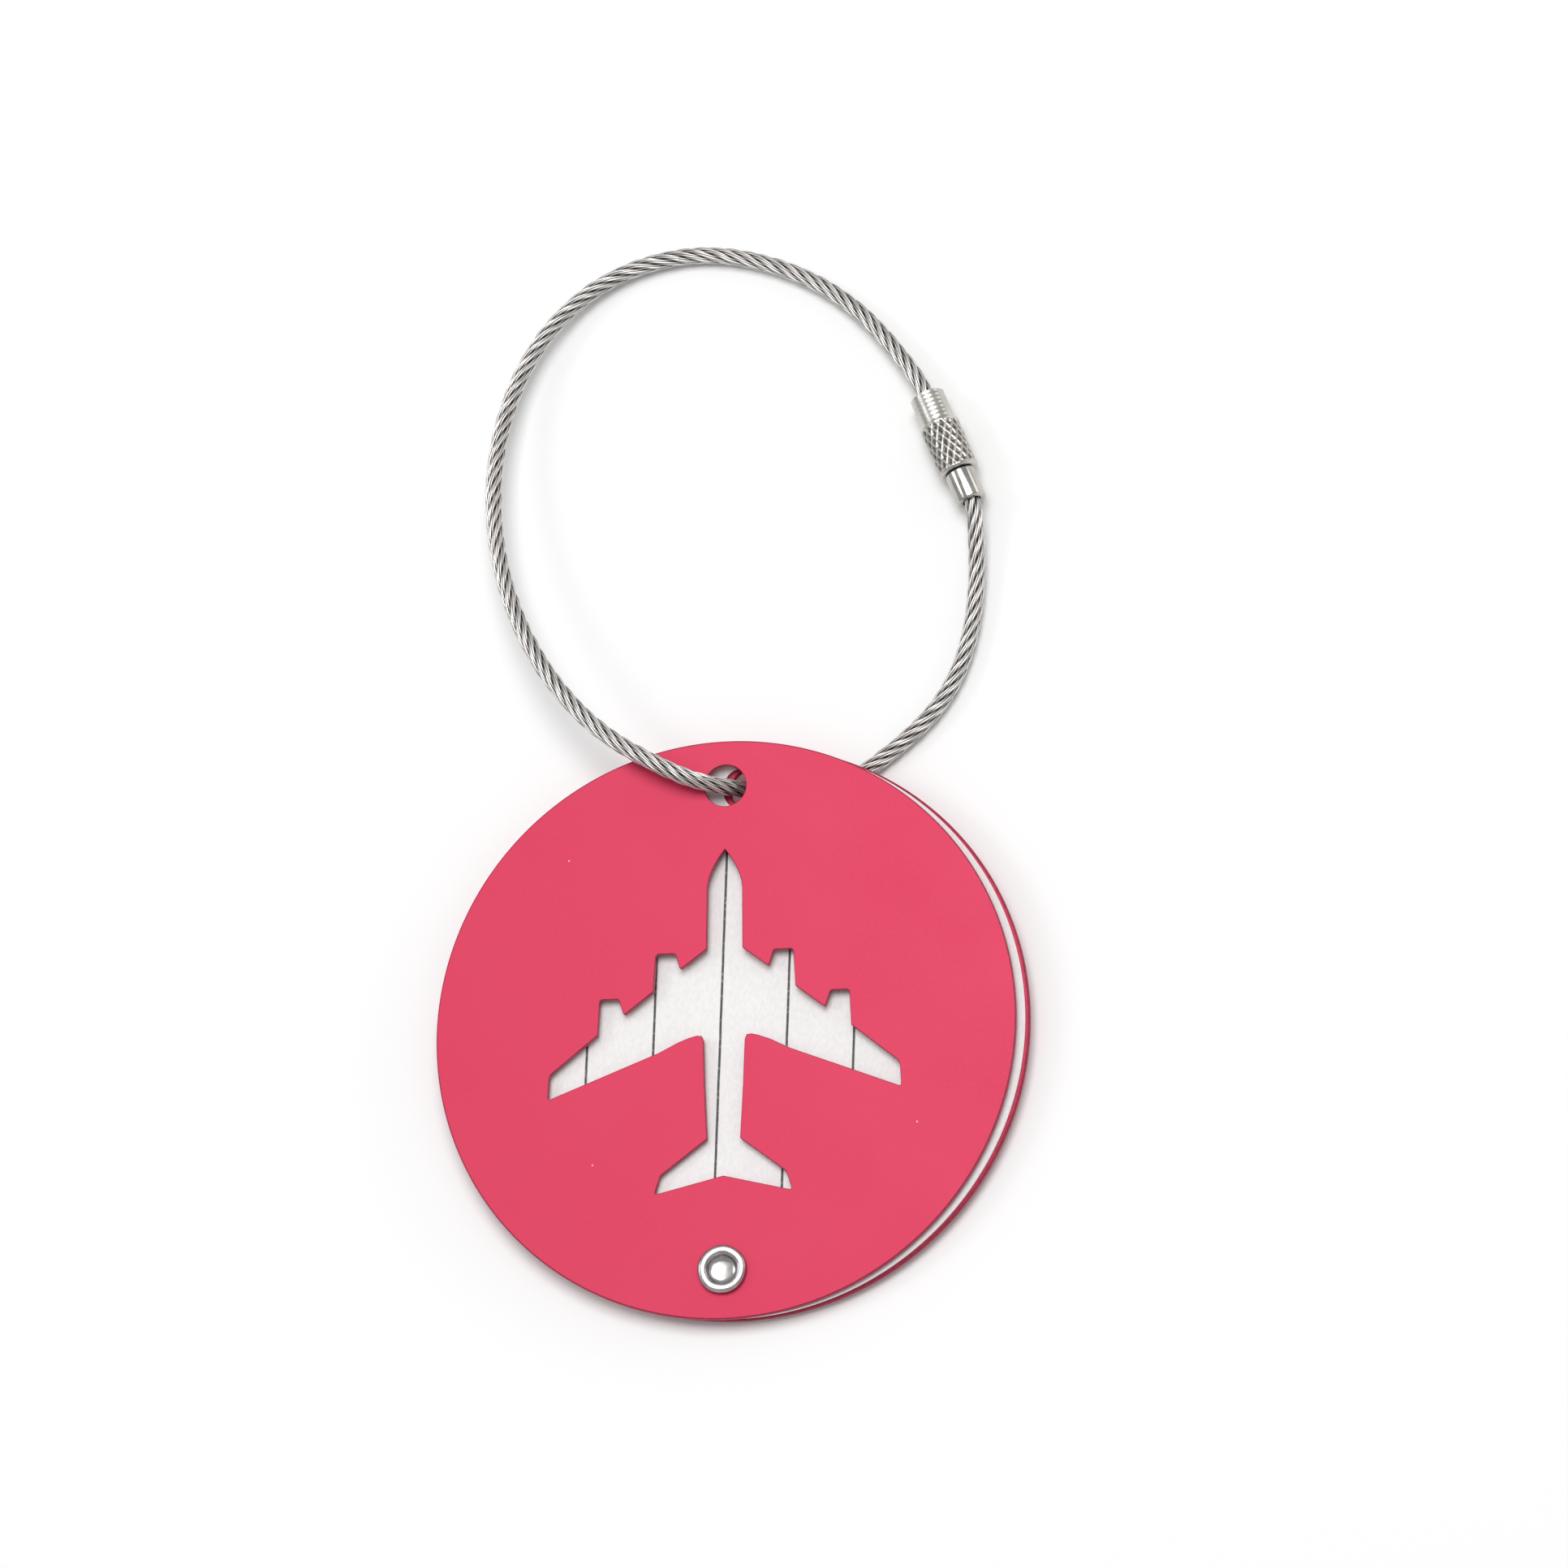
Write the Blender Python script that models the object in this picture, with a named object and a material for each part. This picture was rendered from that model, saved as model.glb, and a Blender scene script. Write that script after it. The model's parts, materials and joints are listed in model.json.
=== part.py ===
"""Round two-plate luggage tag on a wire-rope loop with a screw clasp, lying face up.

Two aluminium discs and the address card between them turn on one rivet at the bottom. The rope
goes down through the three top holes, under the rear plate and round to a screw clasp. Lengths
below are in millimetres; MM turns them into Blender's metres. +Z is up, +Y runs from the rivet
to the loop, and the origin is under the middle of the plates, on the surface they lie on.
"""

from math import cos, pi, radians, sin

import bmesh
import bpy
import numpy as np
from mathutils import Matrix, Vector

MM = 0.001

# Plates and card
DISC_RADIUS = 27.05
PLATE_THICK = 0.6
CARD_RADIUS = 26.9
CARD_THICK = 0.35
EDGE_ROUND = 0.14
RIVET_BELOW_CENTRE = 22.53
HOLE_ABOVE_CENTRE = 22.82
WINDOW_BELOW_CENTRE = 0.36
ROPE_HOLE_RADIUS = 1.95
CARD_HOLE_RADIUS = 2.1
RIVET_HOLE_RADIUS = 1.65
LAYER_GAP = 0.1
DISC_STEPS = 120

# How the layers lie: the rope lifts the hole end and wedges the plates apart
PIVOT = (-0.27, -22.43, 0.1)
RIVET_TILT = radians(2.3)
FRONT_TILT = radians(2.7)
REAR_TILT = radians(1.85)
FRONT_FAN = radians(0.8)
CARD_FAN = radians(1.2)
REAR_FAN = radians(1.85)

# Rivet, measured up its axis from the underside of its rear head
HEAD_RADIUS = 2.4
HEAD_THICK = 0.45
SHANK_RADIUS = 1.5
RIM_RADIUS = 2.25
RIM_HEIGHT = 0.6
HOLLOW_RADIUS = 1.27
HOLLOW_DEPTH = 0.95

# Rope and clasp; the clasp is measured along its axis from the screw end's foot
ROPE_DIAMETER = 1.6
ROPE_SPACING = 2.0
CLASP_FOOT = (21.14, 50.43, 1.92)
CLASP_LEAN = radians(23.0)
FERRULE_RADIUS = 1.43
FERRULE_LENGTH = 3.05
STUD_RADIUS = 1.15
STUD_END = 5.9
BARREL_RADIUS = 1.88
BARREL_START = 3.15
NECK_START = 8.25
NECK_RADIUS = 1.65
NECK_END = 11.4
CHAMBER_RADIUS = 1.3
CHAMBER_END = 8.1
NECK_BORE_RADIUS = 1.0
COLLAR_RADIUS = 1.2
COLLAR_START = 6.1
COLLAR_END = 7.95
CRIMP_BORE_RADIUS = 0.88
ROPE_END_A = 6.3
ROPE_END_B = 2.5
FERRULE_BORE_END = 2.65

# The rope's own route between the clasp's two ends, chosen by hand
ROPE_ROUTE = [
    (14, 65.2, 1.6), (10, 69.9, 1.1), (5, 73.6, 0.85), (0, 75.7, 0.82), (-5, 76.6, 0.85),
    (-10, 76.1, 0.95), (-15, 74, 1.2), (-19, 70.4, 1.7), (-22, 65.4, 2.3), (-23.8, 59, 3.1),
    (-24.1, 52, 4), (-23.2, 46, 4.7), (-21.2, 40, 5.45), (-18.2, 34.4, 6.05), (-14.5, 29.8, 6.4),
    (-11, 26.8, 6.6), (-7.5, 24.7, 6.6), (-4.9, 23.45, 6.3), (-2.7, 22.8, 5.55), (-0.1, 22.8, 3.4),
    (1.8, 22.9, 1.65), (3.9, 22.9, 0.9), (6.4, 23, 0.82), (9, 23.5, 0.82), (12, 25.2, 0.82),
    (15, 27.6, 0.82), (18, 30.7, 0.82), (20.2, 34.8, 0.82), (21.3, 39.5, 0.88), (21.6, 44.4, 1.15),
    (21.5, 47.7, 1.55),
]


def clear_scene():
    for thing in list(bpy.data.objects):
        bpy.data.objects.remove(thing, do_unlink=True)


def make_material(name, colour, roughness, metallic):
    material = bpy.data.materials.new(name)
    material.use_nodes = True
    shader = material.node_tree.nodes["Principled BSDF"]
    shader.inputs["Base Color"].default_value = (*colour, 1)
    shader.inputs["Roughness"].default_value = roughness
    shader.inputs["Metallic"].default_value = metallic
    return material


def make_empty(name, location, rotation):
    """A joint axis or a layer's plane, with nothing of its own to see."""
    empty = bpy.data.objects.new(name, None)
    empty.empty_display_size = 5 * MM
    empty.location = Vector(location) * MM
    empty.rotation_euler = rotation
    bpy.context.scene.collection.objects.link(empty)
    return empty


def make_object(name, mesh, material, parent=None):
    thing = bpy.data.objects.new(name, mesh)
    thing.data.materials.append(material)
    thing.parent = parent
    bpy.context.scene.collection.objects.link(thing)
    return thing


def turned_mesh(name, profile, steps):
    """A solid turned about Z from (radius, height) pairs that run up its outer side. A flat face closes
    each end, unless the profile comes back to its first pair."""
    ring = profile[0] == profile[-1]
    bm = bmesh.new()
    turns = [2 * pi * step / steps for step in range(steps)]
    rings = []
    for radius, height in profile[: len(profile) - ring]:
        rings.append([bm.verts.new((radius * cos(a) * MM, radius * sin(a) * MM, height * MM)) for a in turns])
    if ring:
        rings.append(rings[0])
    else:
        bm.faces.new(list(reversed(rings[0])))
        bm.faces.new(rings[-1])
    for low, high in zip(rings, rings[1:]):
        for step in range(steps):
            after = (step + 1) % steps
            bm.faces.new((low[step], low[after], high[after], high[step]))
    mesh = bpy.data.meshes.new(name)
    bm.to_mesh(mesh)
    bm.free()
    mesh.shade_smooth()
    mesh.set_sharp_from_angle(angle=radians(35))
    return mesh


def prism_mesh(name, outline, low, high):
    """A closed outline of (x, y) pairs, anticlockwise, extruded from one height to another."""
    bm = bmesh.new()
    bottom = [bm.verts.new((x * MM, y * MM, low * MM)) for x, y in outline]
    face = bm.faces.new(bottom)
    made = bmesh.ops.extrude_face_region(bm, geom=[face])
    top = [piece for piece in made["geom"] if isinstance(piece, bmesh.types.BMVert)]
    bmesh.ops.translate(bm, verts=top, vec=(0, 0, (high - low) * MM))
    bmesh.ops.recalc_face_normals(bm, faces=bm.faces)
    mesh = bpy.data.meshes.new(name)
    bm.to_mesh(mesh)
    bm.free()
    return mesh


def cut(thing, cutter_mesh, location=(0, 0, 0)):
    """Takes the cutter, placed in the object's own frame, out of the object."""
    cutter = bpy.data.objects.new(thing.name + "_cutter", cutter_mesh)
    cutter.parent = thing
    cutter.location = Vector(location) * MM
    cutter.hide_render = True
    cutter.display_type = "WIRE"
    bpy.context.scene.collection.objects.link(cutter)
    boolean = thing.modifiers.new("cut", "BOOLEAN")
    boolean.operation = "DIFFERENCE"
    boolean.object = cutter


def rounded_disc(radius, thick):
    """Profile of a disc with a rounded rim, standing on z = 0."""
    corner = min(EDGE_ROUND, thick / 3)
    profile = []
    for centre, start in ((corner, -pi / 2), (thick - corner, 0)):
        for part in range(3):
            angle = start + part * pi / 4
            profile.append((radius - corner + corner * cos(angle), centre + corner * sin(angle)))
    return profile


def filleted(corners, parts=4):
    """An outline through (x, y, radius) corners, each turned into an arc where its radius isn't 0."""
    outline = []
    for index, (x, y, radius) in enumerate(corners):
        if radius == 0:
            outline.append((x, y))
            continue
        here = Vector((x, y))
        before = (Vector(corners[index - 1][:2]) - here).normalized()
        after = (Vector(corners[(index + 1) % len(corners)][:2]) - here).normalized()
        half = before.angle(after) / 2
        centre = here + (before + after).normalized() * radius / sin(half)
        first = here + before * radius / np.tan(half) - centre
        sweep = first.angle_signed(here + after * radius / np.tan(half) - centre)
        for part in range(parts + 1):
            outline.append(tuple(centre + Matrix.Rotation(-sweep * part / parts, 2) @ first))
    return outline


def aeroplane_outline():
    """The airliner seen from above, nose towards the loop, about its own middle."""
    half_width, nose_start, nose_length = 1.62, 13.55, 3.58
    nose = []
    for share in (1.0, 0.93, 0.84, 0.72, 0.58, 0.42, 0.22):
        nose.append((half_width * (1 - share**1.7), nose_start + nose_length * share, 0))
    right = nose + [
        (half_width, nose_start, 0), (1.67, 7.79, 0.25),
        (4.15, 5.95, 0.15), (4.6, 7.48, 0.3), (6.42, 7.48, 0.3), (6.64, 4.0, 0.15),
        (9.4, 1.88, 0.15), (9.9, 3.43, 0.28), (11.65, 3.43, 0.28), (11.83, 0.12, 0.15),
        (16.33, -3.5, 0.9), (16.46, -5.78, 0.15),
        (6.09, -1.77, 0), (4.32, -0.88, 0), (3.29, -0.49, 0), (2.55, -0.3, 0), (2.1, -0.36, 0),
        (1.93, -0.8, 0), (1.8, -4.9, 0), (1.67, -7.56, 0), (1.54, -10.0, 0.2),
        (5.85, -13.25, 0.5), (6.41, -14.98, 0.15),
    ]
    left = [(-x, y, radius) for x, y, radius in reversed(right) if x > 0]
    return filleted(list(reversed(right + [(0, -13.44, 0)] + left)))


def make_disc(name, radius, thick, rope_hole_radius, material, parent):
    """One layer in the frame of its own pivot: the rivet hole is at the origin."""
    thing = make_object(name, turned_mesh(name, rounded_disc(radius, thick), DISC_STEPS), material, parent)
    thing.data.transform(Matrix.Translation((0, RIVET_BELOW_CENTRE * MM, 0)))
    for cutter_radius, up in (
        (RIVET_HOLE_RADIUS, 0),
        (rope_hole_radius, RIVET_BELOW_CENTRE + HOLE_ABOVE_CENTRE),
    ):
        circle = [
            (cutter_radius * cos(2 * pi * step / 48), cutter_radius * sin(2 * pi * step / 48))
            for step in range(48)
        ]
        cut(thing, prism_mesh(name + "_hole", circle, -1, thick + 1), (0, up, 0))
    return thing


def up_the_rivet(distance):
    """A point on the rivet's axis, that far above the underside of its head."""
    x, y, z = PIVOT
    return (x, y - distance * sin(RIVET_TILT), z + distance * cos(RIVET_TILT))


def make_plates(red, white):
    """The rear plate, the card on it and the front plate, each in its own plane."""
    rear_bottom = HEAD_THICK + LAYER_GAP
    card_bottom = rear_bottom + PLATE_THICK + LAYER_GAP
    front_bottom = card_bottom + CARD_THICK + LAYER_GAP
    rear_axis = make_empty("rear_axis", up_the_rivet(rear_bottom), (REAR_TILT, 0, 0))
    card_axis = make_empty("card_axis", up_the_rivet(card_bottom), (REAR_TILT, 0, 0))
    front_axis = make_empty("front_axis", up_the_rivet(front_bottom), (FRONT_TILT, 0, 0))
    rear = make_disc("rear_plate", DISC_RADIUS, PLATE_THICK, ROPE_HOLE_RADIUS, red, rear_axis)
    rear.rotation_euler.z = -REAR_FAN
    card = make_disc("address_card", CARD_RADIUS, CARD_THICK, CARD_HOLE_RADIUS, white, card_axis)
    card.rotation_euler.z = -CARD_FAN
    front = make_disc("front_plate", DISC_RADIUS, PLATE_THICK, ROPE_HOLE_RADIUS, red, front_axis)
    front.rotation_euler.z = FRONT_FAN
    opening = prism_mesh("aeroplane", aeroplane_outline(), -1, PLATE_THICK + 1)
    cut(front, opening, (0, RIVET_BELOW_CENTRE - WINDOW_BELOW_CENTRE, 0))
    return front_bottom + PLATE_THICK


def make_rivet(front_top, silver):
    """Semi-tubular: a flat head behind, and a hollow end rolled out over the front plate."""
    seat = front_top + LAYER_GAP / 2
    crown = seat + RIM_HEIGHT
    profile = [
        (HEAD_RADIUS - 0.2, 0), (HEAD_RADIUS, 0.12), (HEAD_RADIUS, 0.3),
        (HEAD_RADIUS - 0.15, HEAD_THICK), (SHANK_RADIUS, HEAD_THICK), (SHANK_RADIUS, seat),
        (RIM_RADIUS - 0.06, seat), (RIM_RADIUS, seat + 0.2), (RIM_RADIUS - 0.05, seat + 0.38),
        (RIM_RADIUS - 0.18, crown - 0.08), (RIM_RADIUS - 0.38, crown),
        (RIM_RADIUS - 0.62, crown - 0.05), (RIM_RADIUS - 0.82, crown - 0.2),
        (HOLLOW_RADIUS, crown - 0.45), (HOLLOW_RADIUS, crown - HOLLOW_DEPTH + 0.15),
        (HOLLOW_RADIUS - 0.2, crown - HOLLOW_DEPTH),
    ]
    axis = make_empty("rivet_axis", PIVOT, (RIVET_TILT, 0, 0))
    make_object("pivot_rivet", turned_mesh("pivot_rivet", profile, 48), silver, axis)


def along_clasp(distance):
    """A point on the clasp's axis, that far from the screw end's foot."""
    x, y, z = CLASP_FOOT
    return (x - distance * sin(CLASP_LEAN), y + distance * cos(CLASP_LEAN), z)


def make_clasp(silver):
    """Barrel, stop collar and screw end, turned about the clasp's axis."""
    axis = make_empty("clasp_axis", CLASP_FOOT, (-pi / 2, 0, CLASP_LEAN))
    screw_end = [
        (CRIMP_BORE_RADIUS, FERRULE_BORE_END), (CRIMP_BORE_RADIUS, 0),
        (FERRULE_RADIUS - 0.25, 0), (FERRULE_RADIUS, 0.25), (FERRULE_RADIUS, FERRULE_LENGTH),
        (STUD_RADIUS, FERRULE_LENGTH), (STUD_RADIUS, STUD_END - 0.2),
        (STUD_RADIUS - 0.2, STUD_END),
    ]
    barrel = [
        (CHAMBER_RADIUS, BARREL_START), (BARREL_RADIUS - 0.2, BARREL_START),
        (BARREL_RADIUS, BARREL_START + 0.2), (BARREL_RADIUS, NECK_START - 0.12),
        (BARREL_RADIUS - 0.12, NECK_START), (NECK_RADIUS, NECK_START),
        (NECK_RADIUS, NECK_END - 0.1), (NECK_RADIUS - 0.1, NECK_END),
        (NECK_BORE_RADIUS, NECK_END), (NECK_BORE_RADIUS, CHAMBER_END),
        (CHAMBER_RADIUS, CHAMBER_END),
    ]
    collar = [
        (CRIMP_BORE_RADIUS, COLLAR_START), (COLLAR_RADIUS, COLLAR_START),
        (COLLAR_RADIUS, COLLAR_END), (CRIMP_BORE_RADIUS, COLLAR_END),
    ]
    make_object("screw_end", turned_mesh("screw_end", screw_end, 32), silver, axis)
    make_object("clasp_barrel", turned_mesh("clasp_barrel", barrel + barrel[:1], 32), silver, axis)
    make_object("stop_collar", turned_mesh("stop_collar", collar + collar[:1], 32), silver, axis)


def smooth_route(points, spacing):
    """Points about that far apart on the natural cubic curve through the route's own points."""
    points = np.array(points, float)
    steps = np.linalg.norm(np.diff(points, axis=0), axis=1)
    place = np.concatenate([[0], np.cumsum(steps)])
    count = len(points)
    left, right = np.eye(count), np.zeros_like(points)
    for i in range(1, count - 1):
        left[i, i - 1 : i + 2] = steps[i - 1], 2 * (steps[i - 1] + steps[i]), steps[i]
        slopes = np.diff(points[i - 1 : i + 2], axis=0) / steps[i - 1 : i + 1, None]
        right[i] = 6 * (slopes[1] - slopes[0])
    bend = np.linalg.solve(left, right)
    smooth = []
    for at in np.linspace(0, place[-1], round(place[-1] / spacing) + 1):
        i = min(np.searchsorted(place, at, side="right"), count - 1) - 1
        h, a = steps[i], place[i + 1] - at
        b = h - a
        smooth.append(
            (bend[i] * a**3 + bend[i + 1] * b**3) / (6 * h)
            + (points[i] / h - bend[i] * h / 6) * a
            + (points[i + 1] / h - bend[i + 1] * h / 6) * b
        )
    return smooth


def make_rope(steel):
    """The whole wire rope, from the stop collar over the top, through the holes to the screw end."""
    start = [along_clasp(ROPE_END_A + step) for step in (0, 1.3, 2.6, 3.9)] + [along_clasp(NECK_END)]
    end = [along_clasp(at) for at in (0.0, 1.2, ROPE_END_B)]
    route = smooth_route(start + ROPE_ROUTE + end, ROPE_SPACING)
    curve = bpy.data.curves.new("wire_rope", "CURVE")
    curve.dimensions = "3D"
    curve.bevel_depth = ROPE_DIAMETER / 2 * MM
    curve.bevel_resolution = 2
    curve.use_fill_caps = True
    line = curve.splines.new("POLY")
    line.points.add(len(route) - 1)
    for point, place in zip(line.points, route):
        point.co = (*(place * MM), 1)
    make_object("wire_rope", curve, steel)


def main():
    clear_scene()
    red = make_material("red_anodised_aluminium", (0.80, 0.085, 0.155), 0.42, 0.75)
    white = make_material("white_card", (0.80, 0.80, 0.78), 0.55, 0)
    silver = make_material("nickel_plate", (0.78, 0.76, 0.72), 0.18, 1)
    steel = make_material("wire_rope_steel", (0.55, 0.54, 0.52), 0.35, 1)
    front_top = make_plates(red, white)
    make_rivet(front_top, silver)
    make_clasp(silver)
    make_rope(steel)


main()
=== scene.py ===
"""Looks of the round luggage tag: anodised discs, ruled card, rolled rivet, wire rope, screw clasp.

Lengths below are in millimetres, and MM turns them into the frame's metres. Discs and card stand
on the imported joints' own planes. +Z is up, and +Y runs from the rivet to the rope's loop.
"""

import json
from math import cos, pi, radians, sin

import bmesh
import bpy
import numpy as np
from mathutils import Matrix, Vector


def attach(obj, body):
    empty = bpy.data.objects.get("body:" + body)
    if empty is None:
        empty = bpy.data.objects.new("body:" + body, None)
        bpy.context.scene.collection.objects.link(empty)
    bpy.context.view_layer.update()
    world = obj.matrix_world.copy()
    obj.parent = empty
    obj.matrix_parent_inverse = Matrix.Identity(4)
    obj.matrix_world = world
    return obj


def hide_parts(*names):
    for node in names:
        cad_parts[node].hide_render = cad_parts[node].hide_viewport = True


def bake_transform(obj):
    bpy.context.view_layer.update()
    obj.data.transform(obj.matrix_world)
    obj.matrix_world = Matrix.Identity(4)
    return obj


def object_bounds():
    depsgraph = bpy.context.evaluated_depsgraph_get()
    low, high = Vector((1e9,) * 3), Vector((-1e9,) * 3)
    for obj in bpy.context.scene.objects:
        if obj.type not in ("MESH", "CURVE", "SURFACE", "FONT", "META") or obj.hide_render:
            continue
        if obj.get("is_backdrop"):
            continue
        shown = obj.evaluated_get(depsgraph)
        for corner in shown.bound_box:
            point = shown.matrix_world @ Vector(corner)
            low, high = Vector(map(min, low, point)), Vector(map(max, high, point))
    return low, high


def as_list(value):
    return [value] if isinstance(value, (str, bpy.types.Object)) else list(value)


MM = 0.001

# Camera, in metres, and the floor's reach to each side
CAMERA_PLACE = (0.14574, -0.18702, 0.6644)
CAMERA_TURN = (radians(17.584), radians(11.595), radians(1.552))
CAMERA_LENS = 176.6
FLOOR_REACH = 3

# Plates and card
DISC_RADIUS = 27.05
PLATE_THICK = 0.6
PLATE_EDGE = 0.13
# The rear plate's corner is rounded wider, which widens the band of painted shade at its rim.
REAR_EDGE = 0.27
WINDOW_EDGE = 0.07
CARD_RADIUS = 26.9
CARD_THICK = 0.35
CARD_EDGE = 0.05
RIVET_BELOW_CENTRE = 22.53
HOLE_ABOVE_CENTRE = 22.82
WINDOW_BELOW_CENTRE = 0.36
ROPE_HOLE_RADIUS = 1.95
CARD_HOLE_RADIUS = 2.1
RIVET_HOLE_RADIUS = 1.65
DISC_STEPS = 288
HOLE_STEPS = 64
FRONT_TILT = radians(2.7)
FRONT_ABOVE_CARD = 0.45
FRONT_FAN = radians(0.8)
CARD_FAN = radians(1.2)
REAR_FAN = radians(1.85)

# The card's print: five thin rules, a little askew on the card
RULE_SPACING = 6.23
RULE_WIDTH = 0.23
RULES_EACH_SIDE = 2
RULE_REACH = 19.0
RULES_LEFT = -1.33
RULES_LEAN = radians(0.4)

# Rivet, measured up its axis from the rear plate's joint
HEAD_UNDER_REAR = 0.55
HEAD_RADIUS = 2.4
HEAD_THICK = 0.45
HEAD_ROUND = 0.2
SHANK_RADIUS = 1.5
RIVET_SEAT = 1.8
RIM_RADIUS = 2.25
RIM_UP = 0.3
ROLL_RADIUS = 0.36
HOLLOW_RADIUS = 1.3

# Clasp, measured along its axis from the screw end's foot
SPIN_JOINT_UP_CLASP = 6.9
ROPE_END_A = 6.3
ROPE_END_B = 2.5
FERRULE_RADIUS = 1.43
FERRULE_BORE_END = 2.65
STUD_RADIUS = 1.15
STUD_END = 5.9
THREAD_START = 3.2
THREAD_END = 5.6
THREAD_DEPTH = 0.14
THREAD_PITCH = 0.5
BARREL_START = 3.15
BARREL_RADIUS = 1.88
CHAMBER_RADIUS = 1.3
CHAMBER_END = 8.1
NECK_START = 8.25
NECK_END = 11.4
NECK_RADIUS = 1.65
NECK_BORE_RADIUS = 1.0
NECK_RING_DEPTH = 0.02
NECK_RING_POINTS = 8
NECK_STEP = 0.054
NECK_POINTS = 57
CRIMP_BORE_RADIUS = 0.88
COLLAR_START = 6.1
COLLAR_END = 7.95
COLLAR_RADIUS = 1.2
COLLAR_ROUND = 0.1
KNURL_START = 3.35
KNURL_END = 8.1
KNURL_STARTS = 16
KNURL_LEAN = radians(30)
KNURL_DEPTH = 0.2
KNURL_ROWS = 84
THREAD_ROWS = 52
CLASP_SIDES = 168
RIVET_SIDES = 96
# The painted shade in the knurl's pits is full inside the first radius and gone at the second, the ridges'
PIT_RADIUS = 1.73
RIDGE_RADIUS = 1.85

# Wire rope: six strands of six wires laid round a core
STRANDS = 6
WIRES = 6
STRAND_SIDES = 24
CORE_RADIUS = 0.33
CORE_SIDES = 8
STRAND_ORBIT = 0.53
WIRE_ORBIT = 0.178
WIRE_RADIUS = 0.092
ROPE_LAY = 9.4
WIRE_LAY = 5.6
ROPE_STEP = 0.3

# The rope's route between the clasp's two ends
ROPE_ROUTE = [
    (14, 65.2, 1.6), (10, 69.9, 1.1), (5, 73.6, 0.85), (0, 75.7, 0.82), (-5, 76.6, 0.85),
    (-10, 76.1, 0.95), (-15, 74, 1.2), (-19, 70.4, 1.7), (-22, 65.4, 2.3), (-23.8, 59, 3.1),
    (-24.1, 52, 4), (-23.2, 46, 4.7), (-21.2, 40, 5.45), (-18.2, 34.4, 6.05), (-14.5, 29.8, 6.4),
    (-11, 26.8, 6.6), (-7.5, 24.7, 6.6), (-4.9, 23.45, 6.3), (-2.7, 22.8, 5.55), (-0.1, 22.8, 3.4),
    (1.8, 22.9, 1.65), (3.9, 22.9, 0.9), (6.4, 23, 0.82), (9, 23.5, 0.82), (12, 25.2, 0.82),
    (15, 27.6, 0.82), (18, 30.7, 0.82), (20.2, 34.8, 0.82), (21.3, 39.5, 0.88), (21.6, 44.4, 1.15),
    (21.5, 47.7, 1.55),
]

# Where the rope's three lengths meet, and two bodies and two points given for each length
LOOP_LEFT = (-24.1, 52, 4)
UNDER_HOLE = (3.9, 22.9, 0.9)
TOP_BEND = ("tag", "stop", (-19.5, 59.5, 3), (15, 63.5, 2))
FRONT_BEND = ("tag", "rear", (-2.4, 22.9, 5.5), (3.2, 22.9, 1.2))
UNDER_BEND = ("rear", "tag", (4.2, 23, 1), (17.5, 29.5, 1))

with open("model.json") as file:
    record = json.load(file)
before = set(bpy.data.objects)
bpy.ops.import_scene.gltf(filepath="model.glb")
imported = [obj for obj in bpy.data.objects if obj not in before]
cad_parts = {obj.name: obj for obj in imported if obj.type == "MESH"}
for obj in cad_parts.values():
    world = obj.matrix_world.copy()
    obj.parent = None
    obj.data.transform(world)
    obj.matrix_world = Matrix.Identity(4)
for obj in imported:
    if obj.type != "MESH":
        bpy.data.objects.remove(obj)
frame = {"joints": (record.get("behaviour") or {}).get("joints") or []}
cad_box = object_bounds()


# ---------------------------------------------------------------- camera


def make_camera():
    camera = bpy.data.objects.new("camera", bpy.data.cameras.new("camera"))
    bpy.context.scene.collection.objects.link(camera)
    camera.location = CAMERA_PLACE
    camera.rotation_euler = CAMERA_TURN
    camera.data.lens = CAMERA_LENS
    camera.data.clip_start = 0.05
    camera.data.clip_end = 20
    bpy.context.scene.camera = camera


# ---------------------------------------------------------------- planes that pieces stand on


def joint(name):
    return next(j for j in frame["joints"] if j["name"] == name)


def axis_frame(origin, axis, turn=0.0):
    """A frame with its Z along the axis and its X as near to the object's X as that allows."""
    z = Vector(axis).normalized()
    y = z.cross(Vector((1, 0, 0))).normalized()
    turned = Matrix((y.cross(z), y, z)).transposed().to_4x4()
    return Matrix.Translation(origin) @ turned @ Matrix.Rotation(turn, 4, "Z")


REAR_JOINT, CARD_JOINT, SPIN_JOINT = joint("rear_pivot"), joint("card_pivot"), joint("barrel_spin")
REAR_AT, CARD_AT = Vector(REAR_JOINT["pos_m"]), Vector(CARD_JOINT["pos_m"])
RIVET_AXIS = (CARD_AT - REAR_AT).normalized()
CLASP_AXIS = Vector(SPIN_JOINT["axis"]).normalized()
CLASP_FOOT = Vector(SPIN_JOINT["pos_m"]) - CLASP_AXIS * SPIN_JOINT_UP_CLASP * MM
REAR_PLANE = axis_frame(REAR_AT, REAR_JOINT["axis"], -REAR_FAN)
CARD_PLANE = axis_frame(CARD_AT, CARD_JOINT["axis"], -CARD_FAN)
FRONT_PLANE = axis_frame(
    CARD_AT + RIVET_AXIS * FRONT_ABOVE_CARD * MM, (0, -sin(FRONT_TILT), cos(FRONT_TILT)), FRONT_FAN
)
RIVET_FRAME = axis_frame(REAR_AT - RIVET_AXIS * HEAD_UNDER_REAR * MM, RIVET_AXIS)
CLASP_FRAME = axis_frame(CLASP_FOOT, CLASP_AXIS)


def add_piece(name, mesh, place, material_slot, *replaced):
    """Links a mesh, standing in the place, as a piece that takes over the CAD nodes named."""
    piece = bpy.data.objects.new(name, mesh)
    bpy.context.scene.collection.objects.link(piece)
    piece.matrix_world = place
    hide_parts(*replaced)
    return piece


# ---------------------------------------------------------------- materials


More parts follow.
